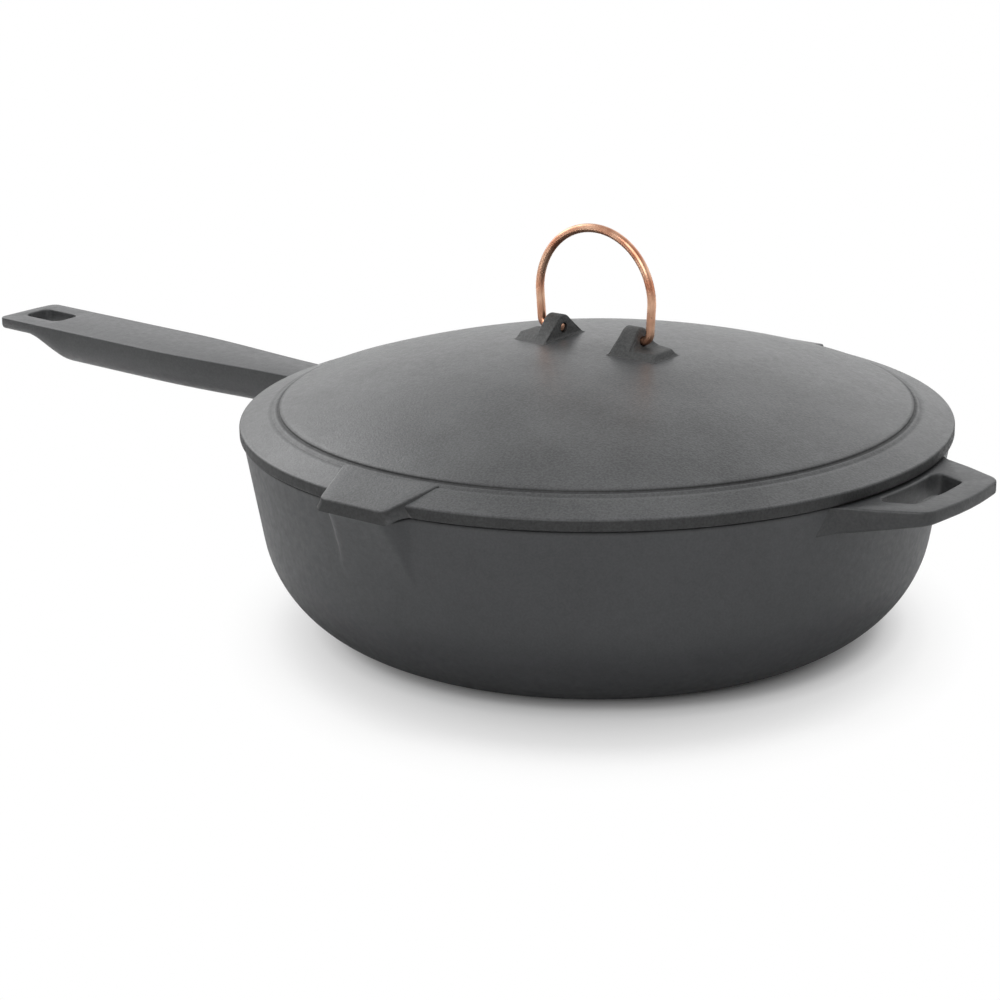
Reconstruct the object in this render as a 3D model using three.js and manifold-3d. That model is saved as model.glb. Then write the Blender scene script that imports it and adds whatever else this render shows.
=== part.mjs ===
// A deep cast iron skillet with a lid, all sizes in millimetres.
// Origin: the middle of the pan's underside, on the surface it stands on.
// +X points along the long handle, +Z points up, and the pouring lips face +Y and -Y.

import * as THREE from 'three';
import Module from 'manifold-3d';
import { mergeVertices } from 'three/addons/utils/BufferGeometryUtils.js';
import { ConvexGeometry } from 'three/addons/geometries/ConvexGeometry.js';

const wasm = await Module();
wasm.setup();

const degrees = THREE.MathUtils.degToRad;

// Pan bowl
const PAN_HEIGHT = 84;
const RIM_RADIUS = 145.6;
const WALL_THICKNESS = 4.4;
const FLOOR_THICKNESS = 5;
const WALL_DRAFT = degrees(9.7);
const CORNER_RADIUS = 50;
const RIM_ROUNDING = 1.2;

// Pouring lips, one on each side of the pan
const LIP_REACH = 6.6;
const LIP_DROP = 1.8;
const LIP_HALF_WIDTH = 14.5;
const LIP_ROOT_HALF_WIDTH = 22;
const LIP_DEPTH = 27;
const LIP_CORNER_RADIUS = 4;

// Long handle
const HANDLE_LENGTH = 196.8;
const HANDLE_DROP = 2.4;
const HANDLE_RISE = 3.1;
const HANDLE_HALF_WIDTH = 17.6;
const NECK_HALF_WIDTH = 11.8;
const NECK_LENGTH = 6;
const FLARE_LENGTH = 95;
const NECK_DEPTH = 16.6;
const HANDLE_DEPTH = 17.6;
const TIP_THICKNESS = 5.6;
const TIP_BLADE_LENGTH = 15;
const TIP_SWEEP_LENGTH = 24;
const TIP_CROWN = 3.6;
const TIP_CORNER_RADIUS = 4;
const HANDLE_EDGE = 0.9;
const UNDERSIDE_ROUND_SHARE = 0.45;
const UNDERSIDE_ROUND_ASPECT = 1.5;

// Slot in the long handle, by which the pan hangs
const SLOT_LENGTH = 22.5;
const SLOT_WIDTH = 15.6;
const SLOT_CORNER_RADIUS = 4;
const SLOT_TO_TIP = 8.5;

// Helper handle, a flat loop opposite the long handle
const HELPER_REACH = 26.8;
const HELPER_DROP = 0.5;
const HELPER_ROOT_HALF_WIDTH = 38.5;
const HELPER_END_HALF_WIDTH = 28.5;
const HELPER_CORNER_RADIUS = 7;
const HELPER_CROWN = 3;
const HELPER_EDGE_THICKNESS = 4.9;
const HELPER_ROOT_THICKNESS = 8;
const HELPER_BAR_WIDTH = 12;
const HELPER_BAND = 3.4;
const HELPER_GAP_ROOT_HALF_WIDTH = 24;
const HELPER_GAP_END_HALF_WIDTH = 19.6;
const HELPER_GAP_RADIUS = 2.8;
const CROWN_RADIUS = 60;

// Lid
const LID_OVERHANG = 1.2;
const LID_EDGE_THICKNESS = 4.9;
const LID_EDGE_ROUNDING = 1.2;
const LID_THICKNESS = 4.5;
const DOME_RISE = 23.6;
const DOME_POWER = 1.82;
const FLANGE_WIDTH = 11.3;
const FLANGE_RISE = 4;
const BAND_WIDTH = 2.6;
const LEDGE_WIDTH = 1.4;
const SHOULDER_RISE = 2;
const GROOVE_DEPTH = 1;
const LEDGE_FALL = 0.4;
const SEAT_EDGE = 0.7;
const RING_CLEARANCE = 0.8;
const RING_DEPTH = 5;
const RING_WIDTH = 4;

// Tabs of the lid, which cover the pouring lips
const TAB_OVERHANG = 2.2;
const TAB_HALF_WIDTH = 16.1;
const TAB_FLARE = 6.4;
const TAB_THICKNESS = 5.2;
const TAB_SLOPE = degrees(14.6);
const TAB_CORNER_RADIUS = 2.4;
const TAB_EDGE_ROUNDING = 1.5;

// Lugs on the lid, which hold the bail
const LUG_INNER_FACE = 16;
const LUG_TALL_LENGTH = 7.4;
const LUG_LENGTH = 19;
const LUG_HEIGHT = 9.6;
const LUG_TOP_RADIUS = 4.4;
const LUG_HALF_WIDTH = 12.4;
const LUG_TAPER = 0.6;
const LUG_END_LEAN = 1.2;
const LUG_EDGE_ROUNDING = 0.8;
const LUG_STEP_FILLET = 2.4;
const LUG_STEP_CLEARANCE = 1.1;
const LUG_BURY = 3.2;
const HINGE_BELOW_LUG_TOP = 5.5;

// Bail, one bent wire
const WIRE_DIAMETER = 3.6;
const WIRE_CLEARANCE = 0.35;
const BAIL_SIDE_CLEARANCE = 2.2;
const BAIL_SPREAD = 0.8;
const BAIL_LEG_HEIGHT = 15.4;
const BAIL_BEND_RADIUS = 3.6;
const PIN_RECESS = 1.2;

// Fineness of round shapes
const ROUND_STEPS = 72;
const ARC_STEPS = 5;
const WIRE_SIDES = 12;
const WIRE_STEPS = 84;
const DOME_STEPS = 8;
const FLARE_STEPS = 6;
const SWEEP_STEPS = 6;
const CUT_MARGIN = 20;

const IRON_COLOUR = 0x3f3f41;
const COPPER_COLOUR = 0xb8704a;

// Sizes that follow from the ones above
const DRAFT_SLOPE = Math.tan(WALL_DRAFT);
const INNER_RIM_RADIUS = RIM_RADIUS - WALL_THICKNESS;
const ROOT_RADIUS = INNER_RIM_RADIUS - WALL_THICKNESS;
const LIP_FRONT = RIM_RADIUS + LIP_REACH;
const HANDLE_TIP = RIM_RADIUS + HANDLE_LENGTH;
const HELPER_TOP = PAN_HEIGHT - HELPER_DROP;
const LID_RADIUS = RIM_RADIUS + LID_OVERHANG;
const FLANGE_OUTER_RADIUS = LID_RADIUS - LID_EDGE_ROUNDING;
const FLANGE_INNER_RADIUS = FLANGE_OUTER_RADIUS - FLANGE_WIDTH;
const LEDGE_OUTER_RADIUS = FLANGE_INNER_RADIUS - BAND_WIDTH;
const DOME_RADIUS = LEDGE_OUTER_RADIUS - LEDGE_WIDTH;
const FLANGE_EDGE_HEIGHT = PAN_HEIGHT + LID_EDGE_THICKNESS;
const FLANGE_INNER_HEIGHT = FLANGE_EDGE_HEIGHT + FLANGE_RISE;
const DOME_TOP = FLANGE_INNER_HEIGHT + SHOULDER_RISE + DOME_RISE;
const TAB_FRONT = LIP_FRONT + TAB_OVERHANG;
const LUG_TOP = domeHeight(LUG_INNER_FACE) + LUG_HEIGHT;
const HINGE_HEIGHT = LUG_TOP - HINGE_BELOW_LUG_TOP;
const WIRE_RADIUS = WIRE_DIAMETER / 2;
const LUG_TALL_FACE = LUG_INNER_FACE + LUG_TALL_LENGTH;
const LUG_STEP_HEIGHT = HINGE_HEIGHT - WIRE_RADIUS - LUG_STEP_CLEARANCE;
const BAIL_FOOT = LUG_TALL_FACE + BAIL_SIDE_CLEARANCE + WIRE_RADIUS;
const BAIL_RADIUS = BAIL_FOOT + BAIL_SPREAD;

// Outer radius of the pan's wall at a height on its straight part
function wallRadius(height) {
  return RIM_RADIUS - (PAN_HEIGHT - height) * DRAFT_SLOPE;
}

// Height of the lid's domed surface at a radius
function domeHeight(radius) {
  return DOME_TOP - DOME_RISE * (radius / DOME_RADIUS) ** DOME_POWER;
}

// A closed three.js geometry as a solid that can be joined and cut
function solidOf(geometry) {
  const bare = geometry.clone();
  bare.deleteAttribute('normal');
  bare.deleteAttribute('uv');
  const merged = mergeVertices(bare);
  const corners = merged.index.array;
  const kept = [];
  for (let i = 0; i < corners.length; i += 3) {
    const [a, b, c] = corners.slice(i, i + 3);
    if (a !== b && b !== c && c !== a) {
      kept.push(a, b, c);
    }
  }
  return new wasm.Manifold(new wasm.Mesh({
    numProp: 3,
    vertProperties: new Float32Array(merged.attributes.position.array),
    triVerts: new Uint32Array(kept),
  }));
}

function geometryOf(solid) {
  const mesh = solid.getMesh();
  const geometry = new THREE.BufferGeometry();
  geometry.setAttribute('position', new THREE.BufferAttribute(mesh.vertProperties, 3));
  geometry.setIndex(new THREE.BufferAttribute(mesh.triVerts, 1));
  geometry.computeVertexNormals();
  return geometry;
}

// Turns a profile of radius and height about the vertical axis
function revolve(profile) {
  const geometry = new THREE.LatheGeometry(profile, ROUND_STEPS);
  geometry.rotateX(Math.PI / 2);
  return solidOf(geometry);
}

// An outline in plan, raised from one height to another
function raise(outline, bottom, top) {
  const geometry = new THREE.ExtrudeGeometry(outline, {
    depth: top - bottom,
    bevelEnabled: false,
    curveSegments: ARC_STEPS,
  });
  geometry.translate(0, 0, bottom);
  return solidOf(geometry);
}

// An outline of X and Z, seen from the side, spread evenly over a width along Y
function spreadAlongY(outline, width) {
  const geometry = new THREE.ExtrudeGeometry(outline, {
    depth: width,
    bevelEnabled: false,
    curveSegments: ARC_STEPS,
  });
  geometry.rotateX(Math.PI / 2);
  geometry.translate(0, width / 2, 0);
  return solidOf(geometry);
}

// An outline of Y and Z, seen from the end, spread evenly over a width along X
function spreadAlongX(outline, width) {
  const geometry = new THREE.ExtrudeGeometry(outline, {
    depth: width,
    bevelEnabled: false,
    curveSegments: ARC_STEPS,
  });
  geometry.rotateX(Math.PI / 2);
  geometry.rotateZ(Math.PI / 2);
  geometry.translate(-width / 2, 0, 0);
  return solidOf(geometry);
}

// The same solid, turned half round the vertical axis
function oppositeOf(solid) {
  return solidOf(geometryOf(solid).rotateZ(Math.PI));
}

function polygon(points) {
  return new THREE.Shape(points.map(([x, y]) => new THREE.Vector2(x, y)));
}

function circle(radius, centreX = 0, centreY = 0) {
  return new THREE.Shape().absarc(centreX, centreY, radius, 0, 2 * Math.PI);
}

// A convex or concave polygon with rounded corners, each corner given as x, y and radius
function roundedPolygon(corners) {
  const shape = new THREE.Shape();
  const last = corners.length - 1;
  corners.forEach(([x, y, radius], i) => {
    const corner = new THREE.Vector2(x, y);
    const [beforeX, beforeY] = corners[i === 0 ? last : i - 1];
    const [afterX, afterY] = corners[i === last ? 0 : i + 1];
    const before = new THREE.Vector2(beforeX, beforeY).sub(corner).normalize();
    const after = new THREE.Vector2(afterX, afterY).sub(corner).normalize();
    const setback = radius / Math.tan(Math.acos(before.dot(after)) / 2);
    const start = corner.clone().addScaledVector(before, setback);
    const end = corner.clone().addScaledVector(after, setback);
    if (i === 0) {
      shape.moveTo(start.x, start.y);
    } else {
      shape.lineTo(start.x, start.y);
    }
    if (radius > 0) {
      shape.quadraticCurveTo(x, y, end.x, end.y);
    }
  });
  shape.closePath();
  return shape;
}

function arcPoints(centreX, centreY, radius, from, to, steps = ARC_STEPS) {
  const points = [];
  for (let i = 0; i <= steps; i++) {
    const angle = from + (to - from) * i / steps;
    points.push(new THREE.Vector2(centreX + radius * Math.cos(angle), centreY + radius * Math.sin(angle)));
  }
  return points;
}

// Half section of a bowl with a flat bottom, a round corner and a drafted wall up to its top
function bowlProfile(rimRadius, bottom, cornerRadius, top) {
  const cornerHeight = bottom + cornerRadius;
  const wallFoot = rimRadius - (PAN_HEIGHT - cornerHeight) * DRAFT_SLOPE;
  const flatRadius = wallFoot - cornerRadius / Math.cos(WALL_DRAFT);
  return [
    new THREE.Vector2(0, bottom),
    ...arcPoints(flatRadius, cornerHeight, cornerRadius, -Math.PI / 2, -WALL_DRAFT, 2 * ARC_STEPS),
    new THREE.Vector2(rimRadius + (top - PAN_HEIGHT) * DRAFT_SLOPE, top),
  ];
}

function bowlOutside() {
  const shoulder = PAN_HEIGHT - RIM_ROUNDING;
  return revolve([
    ...bowlProfile(RIM_RADIUS, 0, CORNER_RADIUS, shoulder),
    ...arcPoints(RIM_RADIUS - RIM_ROUNDING, shoulder, RIM_ROUNDING, Math.PI / 6, Math.PI / 2, 2),
    new THREE.Vector2(0, PAN_HEIGHT),
  ]);
}

function bowlInside() {
  const top = PAN_HEIGHT + CUT_MARGIN;
  return revolve([
    ...bowlProfile(INNER_RIM_RADIUS, FLOOR_THICKNESS, CORNER_RADIUS - WALL_THICKNESS, top),
    new THREE.Vector2(0, top),
  ]);
}

// Height of a lip's sloping edge, which starts to fall where it leaves the rim
function lipEdgeHeight(y) {
  const start = RIM_RADIUS - RIM_ROUNDING;
  return PAN_HEIGHT - LIP_DROP * (y - start) / (LIP_FRONT - start);
}

// Plan of a lip: a trapezoid with rounded front corners
function lipPlan(root, front, rootHalfWidth, frontHalfWidth) {
  return roundedPolygon([
    [rootHalfWidth, root, 0],
    [frontHalfWidth, front, LIP_CORNER_RADIUS],
    [-frontHalfWidth, front, LIP_CORNER_RADIUS],
    [-rootHalfWidth, root, 0],
  ]).getPoints(ARC_STEPS);
}

// A lip on the +Y side, wide at the rim and lost in the wall at its foot. Set in by the wall's
// thickness and drawn up past the rim, the same form is the channel inside it.
function lipBody(inset, extraHeight) {
  const foot = PAN_HEIGHT - LIP_DEPTH;
  const footHalfWidth = (LIP_HALF_WIDTH + LIP_ROOT_HALF_WIDTH) / 2 - inset;
  const footFront = wallRadius(foot) - inset - RIM_ROUNDING;
  const atRim = lipPlan(ROOT_RADIUS, LIP_FRONT - inset, LIP_ROOT_HALF_WIDTH - inset, LIP_HALF_WIDTH - inset);
  const atFoot = lipPlan(ROOT_RADIUS - inset, footFront, footHalfWidth, footHalfWidth);
  return solidOf(new ConvexGeometry([
    ...atRim.map(({ x, y }) => new THREE.Vector3(x, y, lipEdgeHeight(y))),
    ...atRim.map(({ x, y }) => new THREE.Vector3(x, y, lipEdgeHeight(y) + extraHeight)),
    ...atFoot.map(({ x, y }) => new THREE.Vector3(x, y, foot)),
  ]));
}

// Half width of the long handle at a distance from the rim: a straight neck, then an even flare
function handleHalfWidth(run) {
  const flare = THREE.MathUtils.smoothstep(run, NECK_LENGTH, NECK_LENGTH + FLARE_LENGTH);
  return NECK_HALF_WIDTH + (HANDLE_HALF_WIDTH - NECK_HALF_WIDTH) * flare;
}

function handleTop(run) {
  return PAN_HEIGHT - HANDLE_DROP + HANDLE_RISE * run / HANDLE_LENGTH;
}

// The handle keeps its depth, then its underside sweeps up to a thin blade at the tip
function handleDepth(run) {
  const bladeStart = HANDLE_LENGTH - TIP_BLADE_LENGTH;
  const depth = NECK_DEPTH + (HANDLE_DEPTH - NECK_DEPTH) * run / HANDLE_LENGTH;
  const sweep = THREE.MathUtils.smoothstep(run, bladeStart - TIP_SWEEP_LENGTH, bladeStart);
  return depth + (TIP_THICKNESS - depth) * sweep;
}

// Cross section with a flat top, upright sides and a well rounded underside
function handleSection(run) {
  const x = RIM_RADIUS + run;
  const top = handleTop(run);
  const depth = handleDepth(run);
  const halfWidth = handleHalfWidth(run);
  const roundHeight = depth * UNDERSIDE_ROUND_SHARE;
  const roundWidth = roundHeight * UNDERSIDE_ROUND_ASPECT;
  const points = [];
  for (const side of [-1, 1]) {
    points.push(new THREE.Vector3(x, side * (halfWidth - HANDLE_EDGE), top));
    points.push(new THREE.Vector3(x, side * halfWidth, top - HANDLE_EDGE));
    for (const arc of arcPoints(0, 0, 1, 0, Math.PI / 2)) {
      const y = side * (halfWidth - roundWidth * (1 - arc.x));
      points.push(new THREE.Vector3(x, y, top - depth + roundHeight * (1 - arc.y)));
    }
  }
  return points;
}

// Distances from the rim at which the handle changes its section
function handleStations() {
  const bladeStart = HANDLE_LENGTH - TIP_BLADE_LENGTH;
  const sweepStart = bladeStart - TIP_SWEEP_LENGTH;
  const stations = [ROOT_RADIUS - RIM_RADIUS];
  for (let i = 0; i <= FLARE_STEPS; i++) {
    stations.push(NECK_LENGTH + FLARE_LENGTH * i / FLARE_STEPS);
  }
  for (let i = 0; i <= SWEEP_STEPS; i++) {
    stations.push(sweepStart + TIP_SWEEP_LENGTH * i / SWEEP_STEPS);
  }
  stations.push(HANDLE_LENGTH + TIP_CROWN);
  return stations;
}

function longHandle() {
  const sections = handleStations().map(handleSection);
  let bar = solidOf(new ConvexGeometry([...sections[0], ...sections[1]]));
  for (let i = 2; i < sections.length; i++) {
    bar = bar.add(solidOf(new ConvexGeometry([...sections[i - 1], ...sections[i]])));
  }
  const tipPlan = roundedPolygon([
    [0, -HANDLE_HALF_WIDTH, 0],
    [HANDLE_TIP, -HANDLE_HALF_WIDTH, TIP_CORNER_RADIUS],
    [HANDLE_TIP + TIP_CROWN, 0, CROWN_RADIUS],
    [HANDLE_TIP, HANDLE_HALF_WIDTH, TIP_CORNER_RADIUS],
    [0, HANDLE_HALF_WIDTH, 0],
  ]);
  return bar.intersect(raise(tipPlan, 0, PAN_HEIGHT + CUT_MARGIN));
}

function hangSlot() {
  const far = HANDLE_TIP + TIP_CROWN - SLOT_TO_TIP;
  const half = SLOT_WIDTH / 2;
  return raise(roundedPolygon([
    [far - SLOT_LENGTH, -half, SLOT_CORNER_RADIUS],
    [far, -half, SLOT_CORNER_RADIUS],
    [far, half, SLOT_CORNER_RADIUS],
    [far - SLOT_LENGTH, half, SLOT_CORNER_RADIUS],
  ]), 0, PAN_HEIGHT + CUT_MARGIN);
}

// A flat loop whose underside falls towards the pan, with a finger gap beside the wall
function helperHandle() {
  const corner = -RIM_RADIUS - HELPER_REACH;
  const end = corner - HELPER_CROWN;
  const plan = roundedPolygon([
    [-ROOT_RADIUS, -HELPER_ROOT_HALF_WIDTH, 0],
    [-RIM_RADIUS, -HELPER_ROOT_HALF_WIDTH, 0],
    [corner, -HELPER_END_HALF_WIDTH, HELPER_CORNER_RADIUS],
    [end, 0, CROWN_RADIUS],
    [corner, HELPER_END_HALF_WIDTH, HELPER_CORNER_RADIUS],
    [-RIM_RADIUS, HELPER_ROOT_HALF_WIDTH, 0],
    [-ROOT_RADIUS, HELPER_ROOT_HALF_WIDTH, 0],
  ]);
  const gapStart = -RIM_RADIUS - HELPER_BAND;
  const gapEnd = end + HELPER_BAR_WIDTH;
  const gap = roundedPolygon([
    [gapStart, -HELPER_GAP_ROOT_HALF_WIDTH, HELPER_GAP_RADIUS],
    [gapEnd, -HELPER_GAP_END_HALF_WIDTH, HELPER_GAP_RADIUS],
    [gapEnd, HELPER_GAP_END_HALF_WIDTH, HELPER_GAP_RADIUS],
    [gapStart, HELPER_GAP_ROOT_HALF_WIDTH, HELPER_GAP_RADIUS],
  ]);
  const fall = (HELPER_ROOT_THICKNESS - HELPER_EDGE_THICKNESS) / (-RIM_RADIUS - end);
  const underside = (x) => HELPER_TOP - HELPER_EDGE_THICKNESS - fall * (x - end);
  const side = polygon([
    [end, underside(end)],
    [-ROOT_RADIUS, underside(-ROOT_RADIUS)],
    [-ROOT_RADIUS, HELPER_TOP],
    [end, HELPER_TOP],
  ]);
  const plate = spreadAlongY(side, 2 * HELPER_ROOT_HALF_WIDTH).intersect(raise(plan, 0, PAN_HEIGHT));
  return plate.subtract(raise(gap, 0, PAN_HEIGHT));
}

// The pan is one casting: bowl, two lips, long handle and helper handle
function pan() {
  const side = LIP_FRONT + CUT_MARGIN;
  const belowRim = raise(polygon([[-side, 0], [side, 0], [side, side], [-side, side]]), 0, PAN_HEIGHT);
  const lip = lipBody(0, 0).intersect(belowRim);
  const channel = lipBody(WALL_THICKNESS, CUT_MARGIN);
  return bowlOutside()
    .add(longHandle())
    .add(helperHandle())
    .add(lip)
    .add(oppositeOf(lip))
    .subtract(bowlInside())
    .subtract(channel)
    .subtract(oppositeOf(channel))
    .subtract(hangSlot());
}

// Half section of the lid, from the middle of its underside round its edge to the top of the dome
function lidShell() {
  const ringFoot = PAN_HEIGHT - RING_DEPTH;
  const ringOuter = INNER_RIM_RADIUS - RING_DEPTH * DRAFT_SLOPE - RING_CLEARANCE;
  const ringInner = ringOuter - RING_WIDTH;
  const domeRadii = [];
  for (let i = 0; i <= DOME_STEPS; i++) {
    domeRadii.push(DOME_RADIUS * i / DOME_STEPS);
  }
  const underRadii = domeRadii.filter((radius) => radius < ringInner - LID_THICKNESS);
  const grooveBottom = domeHeight(DOME_RADIUS) - GROOVE_DEPTH;
  return revolve([
    ...underRadii.map((radius) => new THREE.Vector2(radius, domeHeight(radius) - LID_THICKNESS)),
    new THREE.Vector2(ringInner, domeHeight(ringInner) - LID_THICKNESS),
    new THREE.Vector2(ringInner, ringFoot),
    new THREE.Vector2(ringOuter, ringFoot),
    new THREE.Vector2(ringOuter, PAN_HEIGHT),
    new THREE.Vector2(LID_RADIUS - SEAT_EDGE, PAN_HEIGHT),
    new THREE.Vector2(LID_RADIUS, PAN_HEIGHT + SEAT_EDGE),
    ...arcPoints(
      FLANGE_OUTER_RADIUS,
      FLANGE_EDGE_HEIGHT - LID_EDGE_ROUNDING,
      LID_EDGE_ROUNDING,
      0,
      Math.PI / 2 - Math.atan(FLANGE_RISE / FLANGE_WIDTH),
      3,
    ),
    new THREE.Vector2(FLANGE_INNER_RADIUS, FLANGE_INNER_HEIGHT),
    new THREE.Vector2(LEDGE_OUTER_RADIUS, grooveBottom - LEDGE_FALL),
    new THREE.Vector2(DOME_RADIUS, grooveBottom),
    ...domeRadii.reverse().map((radius) => new THREE.Vector2(radius, domeHeight(radius))),
  ]);
}

// A tab on the +Y side, which rises from the flange and reaches out over the lip
function lidTab() {
  const rootHalfWidth = TAB_HALF_WIDTH + TAB_FLARE;
  const rootAngle = Math.acos(rootHalfWidth / FLANGE_INNER_RADIUS);
  const root = FLANGE_INNER_RADIUS * Math.sin(rootAngle);
  const cornerStart = TAB_FRONT - TAB_CORNER_RADIUS;
  const plan = new THREE.Shape();
  plan.moveTo(rootHalfWidth, root);
  plan.lineTo(TAB_HALF_WIDTH, cornerStart);
  plan.quadraticCurveTo(TAB_HALF_WIDTH, TAB_FRONT, TAB_HALF_WIDTH - TAB_CORNER_RADIUS, TAB_FRONT);
  plan.lineTo(-TAB_HALF_WIDTH + TAB_CORNER_RADIUS, TAB_FRONT);
  plan.quadraticCurveTo(-TAB_HALF_WIDTH, TAB_FRONT, -TAB_HALF_WIDTH, cornerStart);
  plan.lineTo(-rootHalfWidth, root);
  plan.absarc(0, 0, FLANGE_INNER_RADIUS, Math.PI - rootAngle, rootAngle, true);
  const frontTop = FLANGE_INNER_HEIGHT - (TAB_FRONT - FLANGE_INNER_RADIUS) * Math.tan(TAB_SLOPE);
  const side = roundedPolygon([
    [FLANGE_INNER_RADIUS - FLANGE_WIDTH, PAN_HEIGHT, 0],
    [LID_RADIUS, PAN_HEIGHT, 0],
    [TAB_FRONT, frontTop - TAB_THICKNESS, 0],
    [TAB_FRONT, frontTop, TAB_EDGE_ROUNDING],
    [FLANGE_INNER_RADIUS, FLANGE_INNER_HEIGHT, 0],
    [FLANGE_INNER_RADIUS - FLANGE_WIDTH, FLANGE_INNER_HEIGHT, 0],
  ]);
  return spreadAlongX(side, 2 * rootHalfWidth).intersect(raise(plan, 0, DOME_TOP));
}

// A lug on the +X side: an arch that narrows outwards, tall round the wire and then stepped down
function lidLug() {
  const outerFace = LUG_INNER_FACE + LUG_LENGTH;
  const bottom = domeHeight(outerFace) - LUG_BURY;
  const flank = (LUG_HALF_WIDTH - LUG_TOP_RADIUS) / LUG_HEIGHT;
  const footHalfWidth = LUG_HALF_WIDTH + flank * (LUG_TOP - LUG_HEIGHT - bottom);
  const arch = [
    new THREE.Vector2(-footHalfWidth, bottom),
    new THREE.Vector2(footHalfWidth, bottom),
    ...arcPoints(0, LUG_TOP - LUG_TOP_RADIUS, LUG_TOP_RADIUS, 0, Math.PI, 2 * ARC_STEPS),
  ];
  const body = solidOf(new ConvexGeometry([
    ...arch.map(({ x, y }) => new THREE.Vector3(LUG_INNER_FACE, x, y)),
    ...arch.map(({ x, y }) => new THREE.Vector3(outerFace, x * LUG_TAPER, y)),
  ]));
  const side = roundedPolygon([
    [LUG_INNER_FACE, bottom, 0],
    [outerFace, bottom, 0],
    [outerFace - LUG_END_LEAN, LUG_STEP_HEIGHT, LUG_EDGE_ROUNDING],
    [LUG_TALL_FACE, LUG_STEP_HEIGHT, LUG_STEP_FILLET],
    [LUG_TALL_FACE, LUG_TOP, LUG_EDGE_ROUNDING],
    [LUG_INNER_FACE, LUG_TOP, LUG_EDGE_ROUNDING],
  ]);
  return body.intersect(spreadAlongY(side, 2 * footHalfWidth));
}

function wireHoles() {
  const hole = circle(WIRE_RADIUS + WIRE_CLEARANCE, 0, HINGE_HEIGHT);
  return spreadAlongX(hole, 2 * (LUG_INNER_FACE + LUG_LENGTH));
}

// The lid is one casting: shell, locating ring, two tabs and two lugs
function lid() {
  const tab = lidTab();
  const lug = lidLug();
  return lidShell()
    .add(tab)
    .add(oppositeOf(tab))
    .add(lug)
    .add(oppositeOf(lug))
    .subtract(wireHoles());
}

// Middle line of the wire: a pin in each lug, a bend, a leg, and a half circle over the top
function bailRoute() {
  const pinEnd = LUG_INNER_FACE + PIN_RECESS;
  const bendStart = BAIL_FOOT - BAIL_BEND_RADIUS;
  const line = new THREE.Path();
  line.moveTo(-pinEnd, 0);
  line.lineTo(-bendStart, 0);
  line.quadraticCurveTo(-BAIL_FOOT, 0, -BAIL_FOOT, BAIL_BEND_RADIUS);
  line.lineTo(-BAIL_RADIUS, BAIL_LEG_HEIGHT);
  line.absarc(0, BAIL_LEG_HEIGHT, BAIL_RADIUS, Math.PI, 0, true);
  line.lineTo(BAIL_FOOT, BAIL_BEND_RADIUS);
  line.quadraticCurveTo(BAIL_FOOT, 0, bendStart, 0);
  line.lineTo(pinEnd, 0);
  const points = line.getSpacedPoints(WIRE_STEPS);
  return new THREE.CatmullRomCurve3(points.map(({ x, y }) => new THREE.Vector3(x, 0, HINGE_HEIGHT + y)));
}

function bail() {
  const section = new THREE.Shape(arcPoints(0, 0, WIRE_RADIUS, 0, 2 * Math.PI, WIRE_SIDES).slice(1));
  return solidOf(new THREE.ExtrudeGeometry(section, { steps: WIRE_STEPS, extrudePath: bailRoute() }));
}

function part(name, solid, material) {
  const mesh = new THREE.Mesh(geometryOf(solid), material);
  mesh.name = name;
  return mesh;
}

const iron = new THREE.MeshStandardMaterial({ color: IRON_COLOUR, roughness: 0.72, metalness: 0.5 });
const copper = new THREE.MeshStandardMaterial({ color: COPPER_COLOUR, roughness: 0.28, metalness: 1 });

const skillet = new THREE.Group();
skillet.name = 'skillet';
skillet.add(part('pan', pan(), iron));
skillet.add(part('lid', lid(), iron.clone()));
skillet.add(part('bail', bail(), copper));

export default skillet;
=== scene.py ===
# A deep cast iron skillet with a domed lid and a copper wire bail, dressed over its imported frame.
# Sizes are in millimetres and turned into metres by MM. +X runs along the long handle, +Z is up.

import math

import bpy
from mathutils import Matrix, Vector


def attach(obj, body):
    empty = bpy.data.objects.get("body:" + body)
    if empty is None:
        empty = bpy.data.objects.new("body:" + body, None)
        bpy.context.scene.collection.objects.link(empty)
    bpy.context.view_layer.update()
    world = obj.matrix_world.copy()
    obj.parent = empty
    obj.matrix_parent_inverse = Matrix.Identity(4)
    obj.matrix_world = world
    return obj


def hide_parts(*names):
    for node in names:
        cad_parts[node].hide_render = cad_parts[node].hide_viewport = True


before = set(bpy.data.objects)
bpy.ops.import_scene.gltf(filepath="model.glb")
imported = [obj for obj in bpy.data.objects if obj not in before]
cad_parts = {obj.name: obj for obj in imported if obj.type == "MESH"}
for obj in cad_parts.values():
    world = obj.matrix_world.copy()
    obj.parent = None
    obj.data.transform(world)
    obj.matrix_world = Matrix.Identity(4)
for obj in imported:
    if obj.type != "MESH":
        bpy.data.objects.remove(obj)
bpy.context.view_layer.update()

MM = 0.001

# Pan bowl
PAN_HEIGHT = 84
RIM_RADIUS = 145.6
WALL_THICKNESS = 4.4
FLOOR_THICKNESS = 5
WALL_DRAFT = math.radians(9.7)
CORNER_RADIUS = 50
RIM_ROUNDING = 1.2

# Pouring lips
LIP_FRONT = 152.2
LIP_DROP = 1.8
LIP_HALF_WIDTH = 14.5
LIP_ROOT_HALF_WIDTH = 22
LIP_DEPTH = 27
LIP_FOOT = PAN_HEIGHT - LIP_DEPTH
LIP_ROOT_SINK = 2
LIP_CORNER = 5
LIP_CREASE = 1.6
CHANNEL_CREASE = 3

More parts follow.
